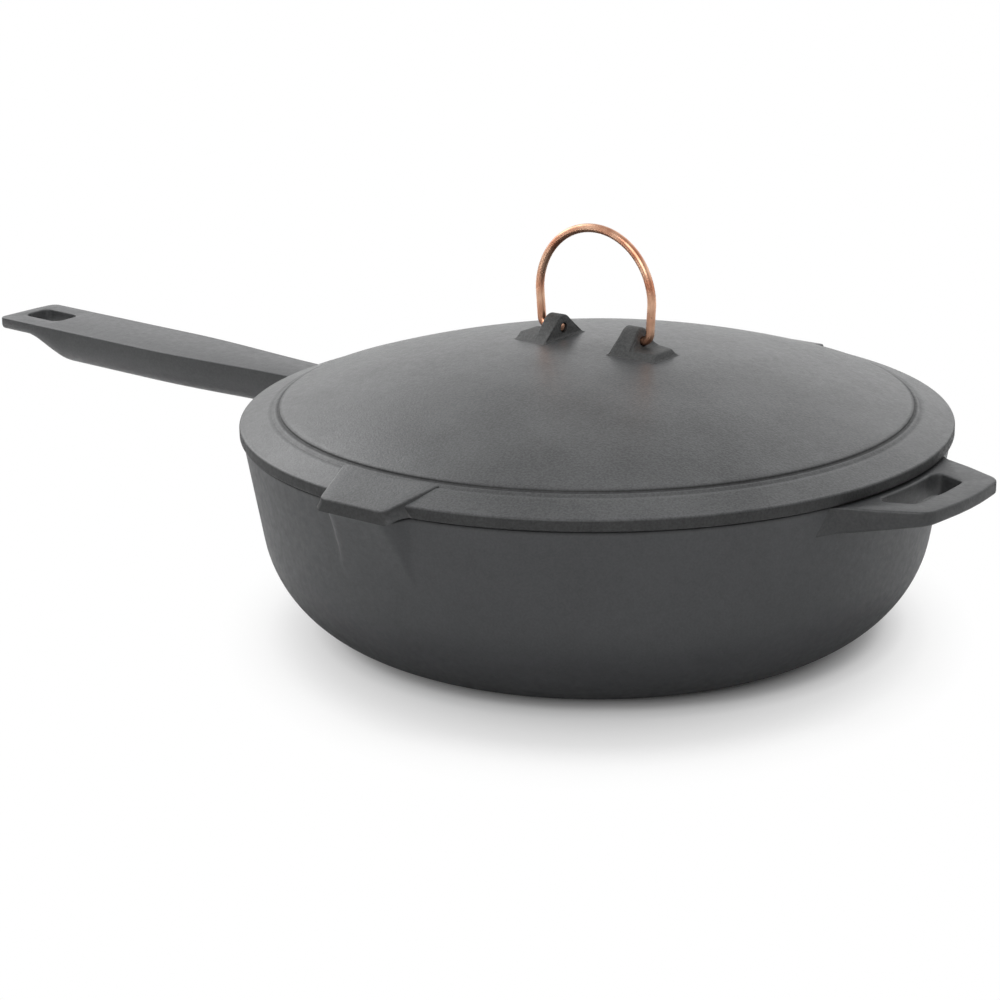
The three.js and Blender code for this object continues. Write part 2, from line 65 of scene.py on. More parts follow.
# Long handle and its slot
HANDLE_TIP = 342.4
HANDLE_TOP = 81.6
HANDLE_LENGTH = 196.8
HANDLE_RISE = 3.1 / HANDLE_LENGTH
HANDLE_START = 141
NECK_HALF_WIDTH = 11.8
NECK_DEPTH = 17.8
NECK_END = 151.6
HANDLE_HALF_WIDTH = 17.6
HANDLE_DEPTH = 17.6
GRIP_START = 246.6
ROOT_FLARE = 3
ROOT_FLARE_END = 151
ROOT_FLARE_LENGTH = 9
TIP_THICKNESS = 6.3
THINNING_START = HANDLE_TIP - 39
THINNING_END = HANDLE_TIP - 15
SLOT_NEAR = 315.4
SLOT_FAR = 337.7
SLOT_HALF_WIDTH = 7.6
SLOT_CORNER = 4
SLOT_SHIFT = -0.5

# Helper handle; its root lists how its sides spread into the wall, as x and y
HELPER_TOP = 83.5
HELPER_CORNER = 172.4
HELPER_CORNER_RADIUS = 8
HELPER_END = 175
HELPER_END_BOW = 2.1
HELPER_ROOT_HALF_WIDTH = 38.5
HELPER_END_HALF_WIDTH = 28.5
HELPER_EDGE_THICKNESS = 4.9
HELPER_ROOT_THICKNESS = 9.8
HELPER_ROOT = [(-133.4, 48.3), (-135.1, 48), (-137, 45.3), (-138.9, 43), (-141, 40.9)]
HELPER_INNER_RADIUS = 141.9
GAP_INNER_RADIUS = 149.2
GAP_END = 163.5
GAP_HIDDEN_SIDE = 0.84

# Lid
LID_RADIUS = 146.8
LID_EDGE_ROUNDING = 1.2
LID_FOOT_ROUNDING = 0.7
LID_EDGE_HEIGHT = 88.9
LID_THICKNESS = 4.5
DOME_TOP = 118.5
DOME_RISE = 23.6
DOME_POWER = 1.82
DOME_RADIUS = 130.3
SHOULDER_ROUNDING = 0.7
LEDGE_RADIUS = 131.7
FLANGE_INNER_RADIUS = 134.3
FLANGE_INNER_HEIGHT = 92.9
FLANGE_OUTER_RADIUS = 145.6
RING_OUTER_RADIUS = 139.5
RING_INNER_RADIUS = 135.5
RING_FOOT = 79
RING_ROUNDING = 1

# Tabs of the lid, with the place where their half width is measured and the place from which their
# underside falls over the lip; the foot lists its half width at distances from the lid's middle
TAB_FRONT = 154.4
TAB_HALF_WIDTH = 16.1
TAB_WIDTH_PLACE = 153
TAB_FALL_START = 146
TAB_RIM_GAP = 0.3
TAB_TAPER = 0.342
TAB_SLOPE = math.tan(math.radians(14.6))
TAB_THICKNESS = 5.2
TAB_EDGE_ROUNDING = 0.9
TAB_CORNER = 2.4
TAB_FOOT = [
    (140, 30), (143.6, 25), (144.6, 22.8), (145.6, 21.2), (147.4, 20.2), (150, 19.2), (153.5, 18),
]

# Lugs of the lid; their flanks' half width is measured at the flank height
LUG_INNER_FACE = 16
LUG_TALL_FACE = 23.4
LUG_OUTER_FACE = 35
LUG_TOP = 127.58
LUG_STEP_HEIGHT = 119.18
LUG_STEP_FILLET = 2.6
LUG_FLANK_HEIGHT = 118
LUG_FLANK_HALF_WIDTH = 12.8
LUG_NARROWING = 6.2
LUG_LEAN = 1.13
LUG_CAP_RADIUS = 5.2
LUG_STEP_CAP_RADIUS = 1.1
LUG_FACE_ROUNDING = 0.7
LUG_TALL_ROUNDING = 1
LUG_STEP_ROUNDING = 0.8
WIRE_HOLE_RADIUS = 2.15

# Bail
HINGE_HEIGHT = 122.08
WIRE_RADIUS = 1.8
BAIL_FOOT = 27.4
BAIL_RADIUS = 28.2
BAIL_LEG_HEIGHT = 15.4
BAIL_BEND_RADIUS = 3.6
PIN_END = 16.5

# Steps round the pan and the lid, and along their sections
ROUND_STEPS = 240
FLOOR_STEPS = 8
CORNER_STEPS = 26
WALL_STEPS = 12
DOME_STEPS = 44

# Horizontal directions of the photograph
PICTURE_RIGHT = (-0.785, -0.62, 0)
TOWARDS_CAMERA = (-0.588, 0.809, 0)


def deselect():
    if bpy.context.object and bpy.context.object.mode == "EDIT":
        bpy.ops.object.mode_set(mode="OBJECT")
    bpy.ops.object.select_all(action="DESELECT")


def pick(piece):
    """Selects one piece alone and makes it the active one."""
    deselect()
    bpy.context.view_layer.objects.active = piece
    piece.select_set(True)


def domed(radius):
    """Height of the lid's domed surface at a radius."""
    return DOME_TOP - DOME_RISE * (radius / DOME_RADIUS) ** DOME_POWER


def arc(centre, radius, start, end, steps):
    """Points of an arc in the plane, angles in degrees."""
    points = []
    for i in range(steps + 1):
        angle = math.radians(start + (end - start) * i / steps)
        points.append((centre[0] + radius * math.cos(angle), centre[1] + radius * math.sin(angle)))
    return points


def smooth_step(value, low, high):
    """Rises softly from 0 at one value to 1 at another."""
    share = min(max((value - low) / (high - low), 0), 1)
    return share * share * (3 - 2 * share)


def trace(name, points):
    """Draws a line of edges, each point extruded from the last, and leaves it in edit mode."""
    deselect()
    bpy.ops.mesh.primitive_plane_add(size=MM)
    piece = bpy.context.object
    piece.name = name
    bpy.ops.object.mode_set(mode="EDIT")
    bpy.ops.mesh.select_mode(type="VERT")
    bpy.ops.mesh.merge(type="CENTER")
    place = Vector((0, 0, 0))
    for i, point in enumerate(points):
        move = Vector(point) * MM - place
        if i == 0:
            bpy.ops.transform.translate(value=move)
        else:
            bpy.ops.mesh.extrude_region_move(TRANSFORM_OT_translate={"value": move})
        place += move
    return piece


def face_outwards():
    """Turns every face of the piece in edit mode outwards and leaves edit mode."""
    bpy.ops.mesh.select_all(action="SELECT")
    bpy.ops.mesh.normals_make_consistent(inside=False)
    bpy.ops.object.mode_set(mode="OBJECT")


def turned(name, profile):
    """A closed shape turned about the vertical axis from points of radius and height."""
    closed = profile if profile[-1][0] == 0 else profile + profile[:1]
    piece = trace(name, [(radius, 0, height) for radius, height in closed])
    bpy.ops.mesh.select_all(action="SELECT")
    bpy.ops.mesh.spin(steps=ROUND_STEPS, angle=2 * math.pi, center=(0, 0, 0), axis=(0, 0, 1))
    bpy.ops.mesh.select_all(action="SELECT")
    bpy.ops.mesh.remove_doubles(threshold=0.002 * MM)
    face_outwards()
    return piece


def slab(name, outline, move):
    """A closed outline filled and extruded along a move."""
    piece = trace(name, outline)
    bpy.ops.mesh.select_all(action="SELECT")
    bpy.ops.mesh.edge_face_add()
    bpy.ops.mesh.extrude_region_move(TRANSFORM_OT_translate={"value": Vector(move) * MM})
    face_outwards()
    return piece


def stacked(name, rows, step):
    """A solid extruded row by row from its first outline, then fitted to every row's outline."""
    step = Vector(step)
    piece = trace(name, rows[0])
    bpy.ops.mesh.select_all(action="SELECT")
    bpy.ops.mesh.edge_face_add()
    for _ in rows[1:]:
        bpy.ops.mesh.extrude_region_move(TRANSFORM_OT_translate={"value": step * MM})
    face_outwards()
    first = [Vector(point) for point in rows[0]]
    for vertex in piece.data.vertices:
        place = vertex.co / MM
        row = round((place - first[0]).dot(step) / step.length_squared)
        start = place - row * step
        column = min(range(len(first)), key=lambda i: (first[i] - start).length)
        vertex.co = Vector(rows[row][column]) * MM
    return piece


def trim(piece, place, normal, clear=True):
    """Cuts a piece at a plane; unless told otherwise, clears one side away and caps the cut."""
    pick(piece)
    bpy.ops.object.mode_set(mode="EDIT")
    bpy.ops.mesh.select_all(action="SELECT")
    bpy.ops.mesh.bisect(
        plane_co=Vector(place) * MM,
        plane_no=normal,
        use_fill=clear,
        clear_outer=clear,
    )
    bpy.ops.object.mode_set(mode="OBJECT")


def combine(piece, tool, operation):
    """Cuts or intersects a piece with a tool, which is then gone."""
    pick(piece)
    boolean = piece.modifiers.new("combine", "BOOLEAN")
    boolean.operation = operation
    boolean.object = tool
    boolean.solver = "EXACT"
    bpy.ops.object.modifier_apply(modifier=boolean.name)
    bpy.data.objects.remove(tool)


def soften(piece, width, angle):
    """Rounds every edge sharper than an angle."""
    pick(piece)
    bevel = piece.modifiers.new("soften", "BEVEL")
    bevel.width = width * MM
    bevel.segments = 3
    bevel.limit_method = "ANGLE"
    bevel.angle_limit = math.radians(angle)
    bevel.use_clamp_overlap = False
    bpy.ops.object.modifier_apply(modifier=bevel.name)


def finish_shape(piece, angle=40):
    """Shades a piece smooth, except at edges sharper than an angle."""
    pick(piece)
    bpy.ops.object.shade_smooth_by_angle(angle=math.radians(angle))


# Pan bowl
def corner_centre(rim, bottom, corner):
    """Radius and height of the centre of a wall's round corner."""
    height = bottom + corner
    radius = rim - (PAN_HEIGHT - height) * math.tan(WALL_DRAFT) - corner / math.cos(WALL_DRAFT)
    return radius, height


def wall_section(rim, bottom, corner, top):
    """Flat bottom, round corner and drafted wall, from the axis out and up."""
    centre = corner_centre(rim, bottom, corner)
    points = [(centre[0] * i / FLOOR_STEPS, bottom) for i in range(FLOOR_STEPS)]
    points += arc(centre, corner, -90, -math.degrees(WALL_DRAFT), CORNER_STEPS)
    radius, height = points[-1]
    for i in range(1, WALL_STEPS + 1):
        rise = (top - height) * i / WALL_STEPS
        points.append((radius + rise * math.tan(WALL_DRAFT), height + rise))
    return points


def wall_radius(height, rim, bottom, corner):
    """Radius of a wall surface at a height, on its round corner or its drafted wall."""
    centre, centre_height = corner_centre(rim, bottom, corner)
    if height > centre_height - corner * math.sin(WALL_DRAFT):
        return rim - (PAN_HEIGHT - height) * math.tan(WALL_DRAFT)
    drop = min(max(centre_height - height, 0), corner)
    return centre + math.sqrt(corner * corner - drop * drop)


def outer_radius(height):
    return wall_radius(height, RIM_RADIUS, 0, CORNER_RADIUS)


def inner_radius(height):
    inner_rim = RIM_RADIUS - WALL_THICKNESS
    return wall_radius(height, inner_rim, FLOOR_THICKNESS, CORNER_RADIUS - WALL_THICKNESS)


def blend_high(a, b, width):
    """The larger of two values, rounded where they meet."""
    overlap = max(width - abs(a - b), 0) / width
    return max(a, b) + overlap * overlap * width / 4


def blend_low(a, b, width):
    """The smaller of two values, rounded where they meet."""
    return -blend_high(-a, -b, width)


def lip_reach(across, height, inset):
    """How far out a lip's surface lies, at a distance across from its middle."""
    rise = (height - LIP_FOOT) / LIP_DEPTH
    foot_half_width = (LIP_HALF_WIDTH + LIP_ROOT_HALF_WIDTH) / 2
    front = outer_radius(LIP_FOOT) - RIM_ROUNDING
    front += (LIP_FRONT - front) * rise
    front_half_width = foot_half_width + (LIP_HALF_WIDTH - foot_half_width) * rise
    root_half_width = foot_half_width + (LIP_ROOT_HALF_WIDTH - foot_half_width) * rise
    root = math.sqrt(outer_radius(height) ** 2 - root_half_width ** 2) - LIP_ROOT_SINK
    spread = max(root_half_width - front_half_width, 0.5)
    side = front - (across - front_half_width + inset) * (front - root) / spread
    return blend_low(front - inset, side, LIP_CORNER)


def pull_lips(bowl):
    """Draws the wall and its rim out into the two pouring lips, with soft cast corners."""
    # A little further than the lips themselves, to take in where they blend into the wall
    lowest = LIP_FOOT - 3
    furthest_across = LIP_ROOT_HALF_WIDTH + 6
    start = RIM_RADIUS - RIM_ROUNDING
    for vertex in bowl.data.vertices:
        x, y, z = (value / MM for value in vertex.co)
        if z < lowest or abs(x) > furthest_across:
            continue
        side = 1 if y > 0 else -1
        outer = outer_radius(z)
        inner = inner_radius(z)
        share = min(max((math.hypot(x, y) - inner) / (outer - inner), 0), 1)
        wall = math.sqrt(outer * outer - x * x)
        channel = math.sqrt(inner * inner - x * x)
        pulled = blend_high(wall, lip_reach(abs(x), z, 0), LIP_CREASE)
        hollow = blend_high(channel, lip_reach(abs(x), z, WALL_THICKNESS), CHANNEL_CREASE)
        reach = hollow + (pulled - hollow) * share
        edge_drop = LIP_DROP * max(reach - start, 0) / (LIP_FRONT - start)
        rise = max(z - LIP_FOOT, 0) / LIP_DEPTH
        vertex.co = Vector((x, side * reach, z - edge_drop * rise)) * MM


def make_bowl():
    """The bowl turned as one section, with finer faces where the lips are then pulled out."""
    top = PAN_HEIGHT - RIM_ROUNDING
    inner_rim = RIM_RADIUS - WALL_THICKNESS
    outside = wall_section(RIM_RADIUS, 0, CORNER_RADIUS, top)
    inside = wall_section(inner_rim, FLOOR_THICKNESS, CORNER_RADIUS - WALL_THICKNESS, top)
    rim = arc((RIM_RADIUS - RIM_ROUNDING, top), RIM_ROUNDING, 20, 90, 4)
    rim += arc((inner_rim + RIM_ROUNDING, top), RIM_ROUNDING, 90, 160, 4)
    bowl = turned("pan_bowl", outside + rim + inside[::-1])
    bpy.ops.object.mode_set(mode="EDIT")
    bpy.ops.mesh.select_mode(type="FACE")
    bpy.ops.mesh.select_all(action="DESELECT")
    bpy.ops.object.mode_set(mode="OBJECT")
    # The faces where the lips will be, on both sides of the wall
    for face in bowl.data.polygons:
        centre = face.center / MM
        near_lip = abs(centre.x) < LIP_ROOT_HALF_WIDTH + 4 and abs(centre.y) > 100
        face.select = near_lip and centre.z > LIP_FOOT - 2
    bpy.ops.object.mode_set(mode="EDIT")
    bpy.ops.mesh.subdivide(number_cuts=2)
    bpy.ops.object.mode_set(mode="OBJECT")
    pull_lips(bowl)
    finish_shape(bowl)
    return bowl


# Long handle
def handle_section(x):
    """Flat top, upright sides and a well rounded underside at a distance from the pan's middle."""
    swell = smooth_step(x, NECK_END, GRIP_START)
    width = NECK_HALF_WIDTH + (HANDLE_HALF_WIDTH - NECK_HALF_WIDTH) * swell
    depth = NECK_DEPTH + (HANDLE_DEPTH - NECK_DEPTH) * (x - RIM_RADIUS) / HANDLE_LENGTH
    depth += (TIP_THICKNESS - depth) * smooth_step(x, THINNING_START, THINNING_END)
    flare = ROOT_FLARE * (max(ROOT_FLARE_END - x, 0) / ROOT_FLARE_LENGTH) ** 2.4
    width += flare
    depth += flare
    top = HANDLE_TOP + HANDLE_RISE * (x - RIM_RADIUS)
    round_height = 0.8 * depth
    round_width = min(0.9 * round_height, width - 0.5)
    half = [(width, top), (width, top - 1)]
    for i in range(10):
        angle = math.radians(10 * i)
        across = width - round_width * (1 - math.cos(angle))
        half.append((across, top - depth + round_height * (1 - math.sin(angle))))
    return [(x, y, z) for y, z in half] + [(x, -y, z) for y, z in reversed(half)]


def tip_outline():
    """Plan that trims the handle's end to its two unequal corners and stands clear of the rest."""
    outside = HANDLE_HALF_WIDTH + 0.2
    clear = outside + 10
    tip_start = 300
    outline = [(120, clear), (tip_start, clear), (tip_start, outside)]
    outline += arc((HANDLE_TIP - 1.8, outside - 3.6), 3.6, 90, 4, 7)
    outline += [(HANDLE_TIP + 1.6, 6), (HANDLE_TIP + 1.3, -6)]
    outline += arc((HANDLE_TIP - 4, -outside + 4.6), 4.6, -8, -90, 7)
    outline += [(tip_start, -outside), (tip_start, -clear), (120, -clear)]
    return outline


def slot_outline():
    """Outline of the hanging slot, cut a little to one side as on the real casting."""
    outline = []
    corners = ((SLOT_FAR, 1, 0), (SLOT_NEAR, 1, 90), (SLOT_NEAR, -1, 180), (SLOT_FAR, -1, 270))
    for end, side, start in corners:
        inwards = -SLOT_CORNER if end == SLOT_FAR else SLOT_CORNER
        middle = (end + inwards, side * (SLOT_HALF_WIDTH - SLOT_CORNER) + SLOT_SHIFT)
        outline += arc(middle, SLOT_CORNER, start, start + 90, 6)
    return outline


def make_handle():
    """One extrusion drawn out from the wall to the tip, with its section set at every station."""
    stations = [HANDLE_START, 142.5, 144, 145.5, 147, 149, ROOT_FLARE_END]
    stations += [155 + 92 * i / 14 for i in range(15)]
    stations += [260, 280, 295]
    stations += [THINNING_START + 2 * i for i in range(13)]
    stations += [HANDLE_TIP + 6]
    handle = stacked("pan_handle", [handle_section(x) for x in stations], (10, 0, 0))
    below = 40
    height = 60
    tip_plan = slab("tip_plan", [(x, y, below) for x, y in tip_outline()], (0, 0, height))
    combine(handle, tip_plan, "INTERSECT")
    slot = slab("slot", [(x, y, below) for x, y in slot_outline()], (0, 0, height))
    combine(handle, slot, "DIFFERENCE")
    soften(handle, 0.6, 50)
    finish_shape(handle)
    return handle


# Helper handle
def helper_outline():
    """Plan of the loop without its gap: tapered sides, round corners and a slightly bowed end."""
    taper = (HELPER_ROOT_HALF_WIDTH - HELPER_END_HALF_WIDTH) / (HELPER_CORNER - RIM_RADIUS)
    turn = math.degrees(math.atan(taper))
    corner = HELPER_CORNER_RADIUS
    corner_middle = (-HELPER_CORNER + corner - 0.6, HELPER_END_HALF_WIDTH - corner + 0.9)
    half = HELPER_ROOT + [
        (-x, HELPER_ROOT_HALF_WIDTH - taper * (x - RIM_RADIUS)) for x in (144, 155)
    ]
    half += arc(corner_middle, corner, 90 + turn, 174, 8)
    half += [(-HELPER_END + HELPER_END_BOW * (y / 21) ** 2, y) for y in (15, 8)]
    half.append((-HELPER_END, 0))
    outline = half + [(x, -y) for x, y in reversed(half[:-1])]
    # The inner end lies inside the bowl's wall
    inner = [(-math.sqrt(HELPER_INNER_RADIUS ** 2 - y * y), y) for y in range(-45, 46, 5)]
    return outline + inner


def gap_outline():
    """Plan of the gap for the fingers, whose hidden far side is a little shorter."""
    outline = [(-math.sqrt(GAP_INNER_RADIUS ** 2 - y * y), y) for y in range(-16, 21, 4)]
    side = arc((-151.4, 21.2), 2.4, 50, 115, 4)
    side += arc((-158.5, 16.2), 4.3, 115, 178, 6)
    side += [(-163.2, 9), (-GAP_END, 0)]
    return outline + side + [(x, -GAP_HIDDEN_SIDE * y) for x, y in reversed(side[:-1])]


def make_helper():
    """A flat loop: a slab of its plan, cut to its sloping underside and opened by its gap."""
    depth = 14
    outline = [(x, y, HELPER_TOP) for x, y in helper_outline()]
    helper = slab("pan_helper", outline, (0, 0, -depth))
    fall = (HELPER_ROOT_THICKNESS - HELPER_EDGE_THICKNESS) / (HELPER_END - RIM_RADIUS)
    trim(helper, (-HELPER_END, 0, HELPER_TOP - HELPER_EDGE_THICKNESS), (-fall, 0, -1))

    # Divided along its middle first, so that no face has to go right round the gap
    trim(helper, (0, 0, 0), (0, 1, 0), clear=False)
    below = 60
    height = 40
    gap = slab("helper_gap", [(x, y, below) for x, y in gap_outline()], (0, 0, height))
    combine(helper, gap, "DIFFERENCE")
    soften(helper, 0.9, 50)
    finish_shape(helper)
    return helper


# Lid
def flange_height(radius):
    """Height of the lid's sloping flange at a radius."""
    slope = (FLANGE_INNER_HEIGHT - LID_EDGE_HEIGHT) / (FLANGE_OUTER_RADIUS - FLANGE_INNER_RADIUS)
    return FLANGE_INNER_HEIGHT - slope * (radius - FLANGE_INNER_RADIUS)


def make_lid_shell():
    """Underside, locating ring, edge, flange, groove and dome, turned as one section."""
    radii = [DOME_RADIUS * i / DOME_STEPS for i in range(DOME_STEPS)]
    dome = [(radius, domed(radius)) for radius in radii]

    under_end = RING_INNER_RADIUS - 9
    under = [(radius, height - LID_THICKNESS) for radius, height in dome if radius < under_end]
    under_corner = (RING_INNER_RADIUS - 4, domed(RING_INNER_RADIUS) - LID_THICKNESS - 3)
    under += arc(under_corner, 4, 65, 0, 5)
    rounding = RING_ROUNDING
    ring = arc((RING_INNER_RADIUS + rounding, RING_FOOT + rounding), rounding, 180, 270, 3)
    ring += arc((RING_OUTER_RADIUS - rounding, RING_FOOT + rounding), rounding, 270, 360, 3)
    ring += [(RING_OUTER_RADIUS, PAN_HEIGHT)]

    slope = flange_height(0) - flange_height(1)
    foot_centre = (LID_RADIUS - LID_FOOT_ROUNDING, PAN_HEIGHT + LID_FOOT_ROUNDING)
    edge = arc(foot_centre, LID_FOOT_ROUNDING, 270, 360, 3)
    edge += [(LID_RADIUS, PAN_HEIGHT + 1.1)]
    edge += [(LID_RADIUS, LID_EDGE_HEIGHT - LID_EDGE_ROUNDING - 0.4)]
    edge_centre = (FLANGE_OUTER_RADIUS, LID_EDGE_HEIGHT - LID_EDGE_ROUNDING)
    edge += arc(edge_centre, LID_EDGE_ROUNDING, 0, 90 - math.degrees(math.atan(slope)), 6)
    flange = (FLANGE_OUTER_RADIUS - 0.3, FLANGE_OUTER_RADIUS - 1, 140)
    edge += [(radius, flange_height(radius)) for radius in flange]

    # The groove, from the flange in to the foot of the dome
    ledge = domed(DOME_RADIUS) - 1
    groove = [
        (FLANGE_INNER_RADIUS + 1, FLANGE_INNER_HEIGHT - slope),
        (FLANGE_INNER_RADIUS + 0.2, flange_height(FLANGE_INNER_RADIUS + 0.2)),
        (FLANGE_INNER_RADIUS - 0.6, FLANGE_INNER_HEIGHT - 0.05),
        (FLANGE_INNER_RADIUS - 1.1, FLANGE_INNER_HEIGHT + 0.08),
        (LEDGE_RADIUS + 0.5, ledge - 0.15),
        (LEDGE_RADIUS + 0.1, ledge - 0.03),
        (DOME_RADIUS + 0.5, ledge),
        (DOME_RADIUS + 0.2, ledge + 0.12),
        (DOME_RADIUS + 0.05, ledge + 0.35),
    ]
    shoulder_centre = (DOME_RADIUS - SHOULDER_ROUNDING, domed(DOME_RADIUS) - 0.5)
    shoulder = arc(shoulder_centre, SHOULDER_ROUNDING, 0, 70, 4)
    shell = turned("lid_shell", under + ring + edge + groove + shoulder + dome[::-1])
    finish_shape(shell, 50)
    return shell


def between(value, table):
    """Reads a value off a table of pairs, straight from one pair to the next."""
    for (start, low), (end, high) in zip(table, table[1:]):
        if value <= end:
            return low + (high - low) * max(value - start, 0) / (end - start)
    return table[-1][1]


def tab_section(y):
    """Section of a tab at a distance from the lid's middle: flat top, sides spreading downwards."""
    rounding = TAB_EDGE_ROUNDING
    top = FLANGE_INNER_HEIGHT - TAB_SLOPE * (y - FLANGE_INNER_RADIUS)
    rim_end = (TAB_FALL_START, PAN_HEIGHT + TAB_RIM_GAP)
    bottom = between(y, [rim_end, (TAB_FRONT, top - TAB_THICKNESS)])
    if y > TAB_FRONT - 0.5:
        bottom = top - TAB_THICKNESS + 0.25 * (y - TAB_FRONT + 0.5)
    rounded = max(y - TAB_FRONT + rounding, 0)
    top -= rounding - math.sqrt(rounding ** 2 - rounded ** 2)
    turned_in = max(y - TAB_FRONT + TAB_CORNER, 0)
    corner = TAB_CORNER - math.sqrt(TAB_CORNER ** 2 - turned_in ** 2)
    upper = TAB_HALF_WIDTH + (TAB_WIDTH_PLACE - y) * TAB_TAPER - corner
    lower = between(y, TAB_FOOT) - corner
    half = [(upper * i / 4, top) for i in range(4)]
    half += arc((upper - rounding, top - rounding), rounding, 90, 12, 5)
    drop = top - rounding - bottom
    for i in range(1, 7):
        share = i / 6
        across = upper + (lower - upper) * share ** 1.3
        half.append((across, top - rounding - drop * share * 0.94))
    half.append((lower - 0.3, bottom))
    return [(x, y, z) for x, z in half[::-1]] + [(-x, y, z) for x, z in half[1:]]


def make_tab():
    """A tab on the +Y side, drawn outwards section by section to its flat front."""
    stations = [131, 134.3, 138, 141, 143, 144, 144.6, 145.1, 145.6, 146.5, 147.4, 148.7, 150, 151]
    for angle in (0, 18, 34, 48, 60, 70, 79, 85, 90):
        stations.append(TAB_FRONT - TAB_CORNER + TAB_CORNER * math.sin(math.radians(angle)))
    tab = stacked("lid_tab", [tab_section(y) for y in stations], (0, 10, 0))
    finish_shape(tab)
    return tab


def lug_section(x, top, inset):
    """Section across a lug: sloping flanks, a round or flat cap and a small flare at the foot."""
    along = (x - LUG_INNER_FACE) / (LUG_OUTER_FACE - LUG_INNER_FACE)
    width = LUG_FLANK_HALF_WIDTH - LUG_NARROWING * along - inset
    above_step = max(top - LUG_STEP_HEIGHT - 1, 0) / (LUG_TOP - LUG_STEP_HEIGHT - 1)
    cap = LUG_STEP_CAP_RADIUS + (LUG_CAP_RADIUS - LUG_STEP_CAP_RADIUS) * above_step
    slant = math.sqrt(1 + LUG_LEAN * LUG_LEAN)
    foot = width + LUG_LEAN * 1.2
    ground = domed(math.hypot(x, foot))
    top = max(top, ground - 0.4)
    # The cap's arc touches the flanks at this height
    tangent_height = top - cap + cap * LUG_LEAN / slant
    cap_centre = width - LUG_LEAN * (tangent_height - LUG_FLANK_HEIGHT) - cap / slant
    cap_centre = max(cap_centre, 0)
    tangent = (cap_centre + cap / slant, tangent_height)
    reach = width - LUG_LEAN * (ground - LUG_FLANK_HEIGHT)
    low = min(1, max(tangent_height - ground, 0) / 2)
    half = [
        (foot + 0.9, ground - 1.6),
        (reach + 0.9, ground - 0.12),
        (reach + 0.35, ground + 0.18 * low),
        (reach - LUG_LEAN * 0.55 * low, ground + 0.6 * low),
    ]
    start = half[-1]
    for i in range(1, 6):
        share = i / 5
        across = start[0] + (tangent[0] - start[0]) * share
        half.append((across, start[1] + (tangent[1] - start[1]) * share))
    half += arc((cap_centre, top - cap), cap, math.degrees(math.atan(LUG_LEAN)), 90, 8)[1:]
    return [(x, y, z) for y, z in half] + [(x, -y, z) for y, z in half[::-1]]


def lug_rows():
    """Distance, top height and inset of each of a lug's sections, from its inner face outwards."""
    ground = domed(LUG_INNER_FACE)
    rows = [
        (LUG_INNER_FACE + x, ground + above, 0)
        for x, above in ((-1.3, -0.6), (-0.9, -0.05), (-0.5, 0.15), (-0.2, 0.45), (0, 0.9))
    ]
    for angle in (0, 25, 50, 70, 90):
        turn = math.radians(angle)
        inset = LUG_FACE_ROUNDING * (1 - math.sin(turn))
        x = LUG_INNER_FACE + LUG_FACE_ROUNDING * (1 - math.cos(turn))
        rows.append((x, LUG_TOP - inset, inset))
    tall_end = LUG_TALL_FACE - LUG_TALL_ROUNDING
    rows += [(19, LUG_TOP, 0), (tall_end, LUG_TOP, 0)]
    for angle in (70, 45, 20, 0):
        turn = math.radians(angle)
        inset = LUG_TALL_ROUNDING * (1 - math.sin(turn))
        rows.append((tall_end + LUG_TALL_ROUNDING * math.cos(turn), LUG_TOP - inset, 0))

    # Down the tall face, which spreads a little to its foot, and round a fillet on to the step
    spread = 0.6
    fillet = LUG_STEP_FILLET
    fillet_centre = (LUG_TALL_FACE + spread + fillet, LUG_STEP_HEIGHT + fillet)
    tall_edge = LUG_TOP - LUG_TALL_ROUNDING
    for share in (0.3, 0.6):
        height = tall_edge + (fillet_centre[1] - tall_edge) * share
        rows.append((LUG_TALL_FACE + spread * share, height, 0))
    rows += [(x, z, 0) for x, z in arc(fillet_centre, fillet, 180, 270, 7)]
    rows += [(30, LUG_STEP_HEIGHT, 0), (33, LUG_STEP_HEIGHT, 0)]
    rounding = LUG_STEP_ROUNDING
    for angle in (60, 35, 10):
        turn = math.radians(angle)
        inset = rounding * (1 - math.sin(turn))
        x = LUG_OUTER_FACE - 1.1 + rounding * math.cos(turn)
        rows.append((x, LUG_STEP_HEIGHT - inset, inset * 0.8))
    ground = domed(LUG_OUTER_FACE)
    for x, above in ((0, 0.8), (0.15, 0.4), (0.5, 0.1), (1, -0.1), (1.3, -0.7)):
        rows.append((LUG_OUTER_FACE + x, ground + above, 0.5))
    return rows


def make_lug():
    """A lug on the +X side, drawn outwards section by section, then drilled for the wire."""
    lug = stacked("lid_lug", [lug_section(*row) for row in lug_rows()], (10, 0, 0))
    drill_length = 16
    deselect()
    bpy.ops.mesh.primitive_cylinder_add(
        vertices=32,
        radius=WIRE_HOLE_RADIUS * MM,
        depth=drill_length * MM,
        location=((LUG_TALL_FACE - 2) * MM, 0, HINGE_HEIGHT * MM),
        rotation=(0, math.pi / 2, 0),
    )
    combine(lug, bpy.context.object, "DIFFERENCE")
    finish_shape(lug)
    return lug


def turned_copy(piece, name):
    """A copy turned half round the vertical axis, with its own mesh."""
    pick(piece)
    bpy.ops.object.duplicate()
    copy = bpy.context.object
    copy.name = name
    bpy.ops.object.mode_set(mode="EDIT")
    bpy.ops.mesh.select_all(action="SELECT")
    bpy.ops.transform.resize(value=(-1, -1, 1), center_override=(0, 0, 0))
    bpy.ops.object.mode_set(mode="OBJECT")
    return copy


# Bail
def draw_straight(x, z, steps):
    """Draws the wire's end on in a straight line, in even steps."""
    move = Vector((x, 0, z)) * (MM / steps)
    for _ in range(steps):
        bpy.ops.mesh.extrude_region_move(TRANSFORM_OT_translate={"value": move})


